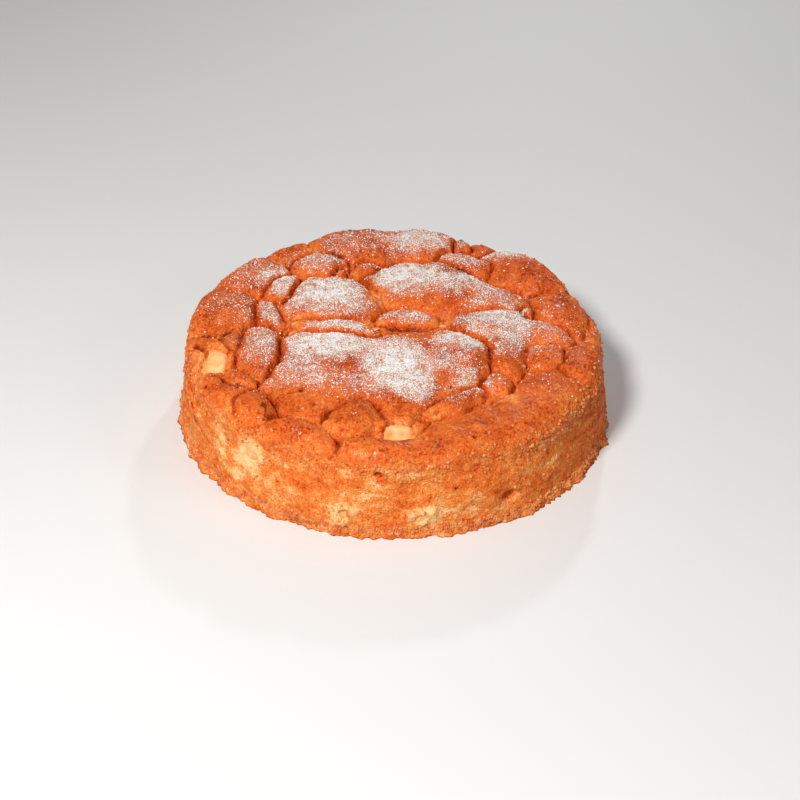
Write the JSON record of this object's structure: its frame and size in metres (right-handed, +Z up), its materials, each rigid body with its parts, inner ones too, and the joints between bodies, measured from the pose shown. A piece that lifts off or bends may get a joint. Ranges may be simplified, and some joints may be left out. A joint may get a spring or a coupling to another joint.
{
  "type": "apple cake",
  "caption": "Whole round apple cake: a golden sponge baked in a round tin, its lumpy top cracked in lobes round chunks of apple.",
  "frame": {"origin": "middle of the cake's box in plan, on its flat underside", "axes": "+Z up through the cake, +X to the right and +Y to the back of the side that was shown"},
  "size_m": [0.2366, 0.2366, 0.056],
  "materials": {
    "crust": "baked, matt with moist spots",
    "apple": "satin, moist baked apple"
  },
  "bodies": {
    "root": {"apple_back_left": "apple", "apple_front": "apple", "apple_front_crease": "apple", "apple_front_right": "apple", "apple_left_crease": "apple", "apple_left_rim": "apple", "apple_middle": "apple", "apple_middle_back": "apple", "apple_right_crease": "apple", "apple_right_front": "apple", "apple_side_back": "apple", "apple_side_back_right": "apple", "apple_side_front": "apple", "apple_side_left": "apple", "apple_side_middle": "apple", "cake": "crust"}
  },
  "joints": []
}
